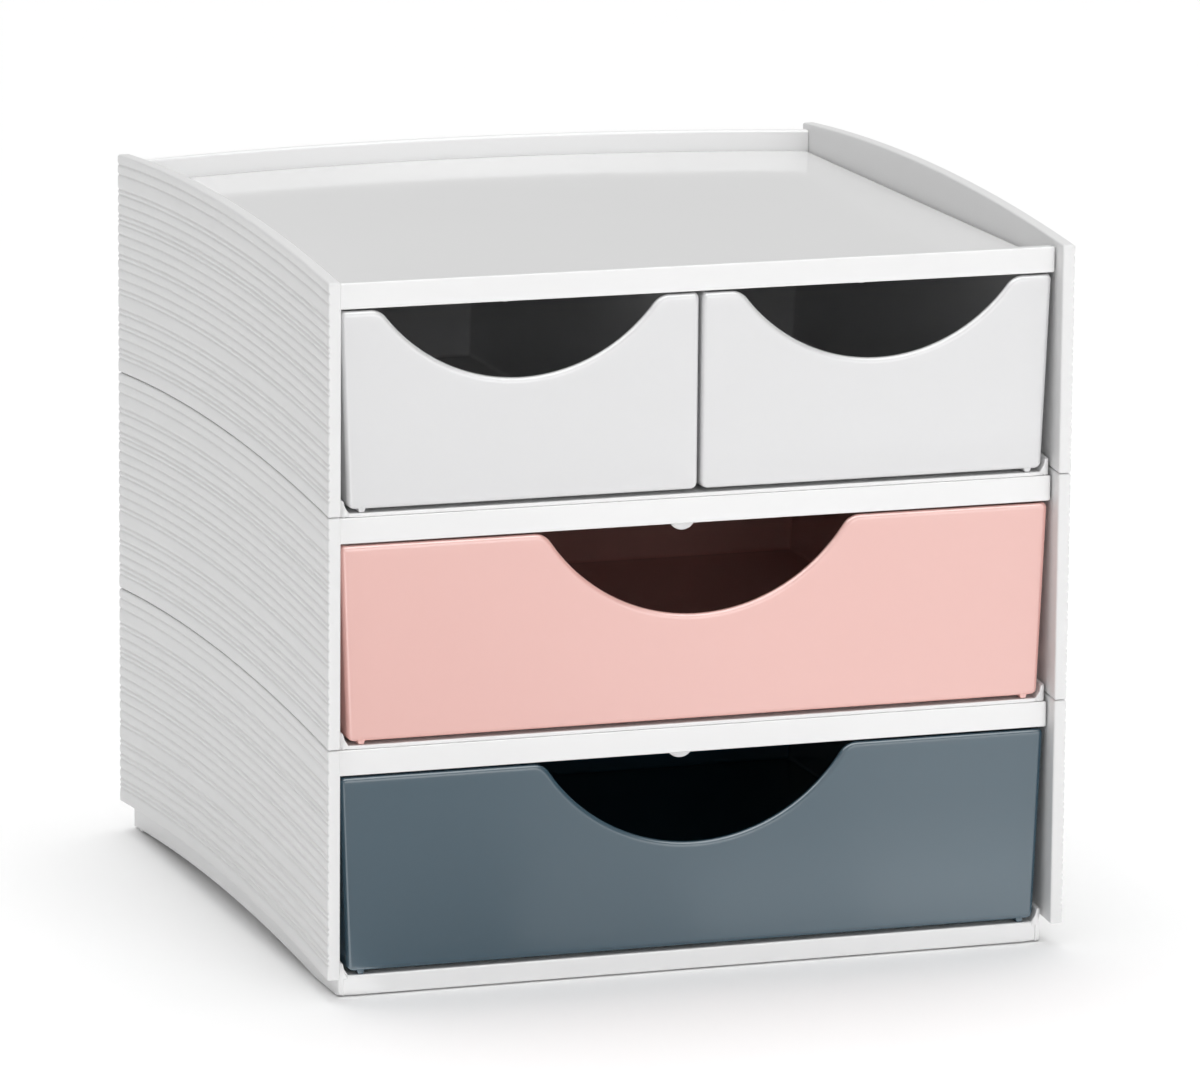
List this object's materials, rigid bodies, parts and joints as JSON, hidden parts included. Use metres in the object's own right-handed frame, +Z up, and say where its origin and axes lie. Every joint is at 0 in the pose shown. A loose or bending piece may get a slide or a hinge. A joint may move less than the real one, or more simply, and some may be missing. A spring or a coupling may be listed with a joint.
{
  "type": "desktop mini drawers",
  "caption": "Stackable desktop drawer unit with sliding stationery drawers, arched ribbed sides and a shallow top tray.",
  "frame": {"origin": "middle of the unit's bounding box, at the undersides of the pads, on the table", "axes": "+X to the right seen from the front, +Y from the drawer fronts to the bowed back, +Z up"},
  "size_m": [0.188, 0.193, 0.1786],
  "materials": {
    "shell": "satin gloss moulded polystyrene, white",
    "drawer_white": "gloss moulded polystyrene, white",
    "drawer_pink": "gloss moulded polystyrene, dusty pink",
    "drawer_slate": "gloss moulded polystyrene, slate blue-grey",
    "pad": "soft matte elastomer"
  },
  "bodies": {
    "housing": {"lower_base": "shell", "middle_base": "shell", "upper_base": "shell", "lower_left_side": "shell", "middle_left_side": "shell", "upper_left_side": "shell", "lower_right_side": "shell", "middle_right_side": "shell", "upper_right_side": "shell", "lower_back": "shell", "middle_back": "shell", "upper_back": "shell", "lower_shelf": "shell", "middle_shelf": "shell", "top_tray": "shell", "pad_front_left": "pad", "pad_front_right": "pad", "pad_rear_left": "pad", "pad_rear_right": "pad"},
    "lower_drawer": {"lower_drawer": "drawer_slate"},
    "middle_drawer": {"middle_drawer": "drawer_pink"},
    "upper_left_drawer": {"upper_left_drawer": "drawer_white"},
    "upper_right_drawer": {"upper_right_drawer": "drawer_white"}
  },
  "joints": [
    {"name": "lower_drawer_slide", "type": "slide", "parent": "housing", "child": "lower_drawer", "axis": [0, -1, 0], "range_m": [0, 0.156]},
    {"name": "middle_drawer_slide", "type": "slide", "parent": "housing", "child": "middle_drawer", "axis": [0, -1, 0], "range_m": [0, 0.156]},
    {"name": "upper_left_drawer_slide", "type": "slide", "parent": "housing", "child": "upper_left_drawer", "axis": [0, -1, 0], "range_m": [0, 0.156]},
    {"name": "upper_right_drawer_slide", "type": "slide", "parent": "housing", "child": "upper_right_drawer", "axis": [0, -1, 0], "range_m": [0, 0.156]}
  ]
}
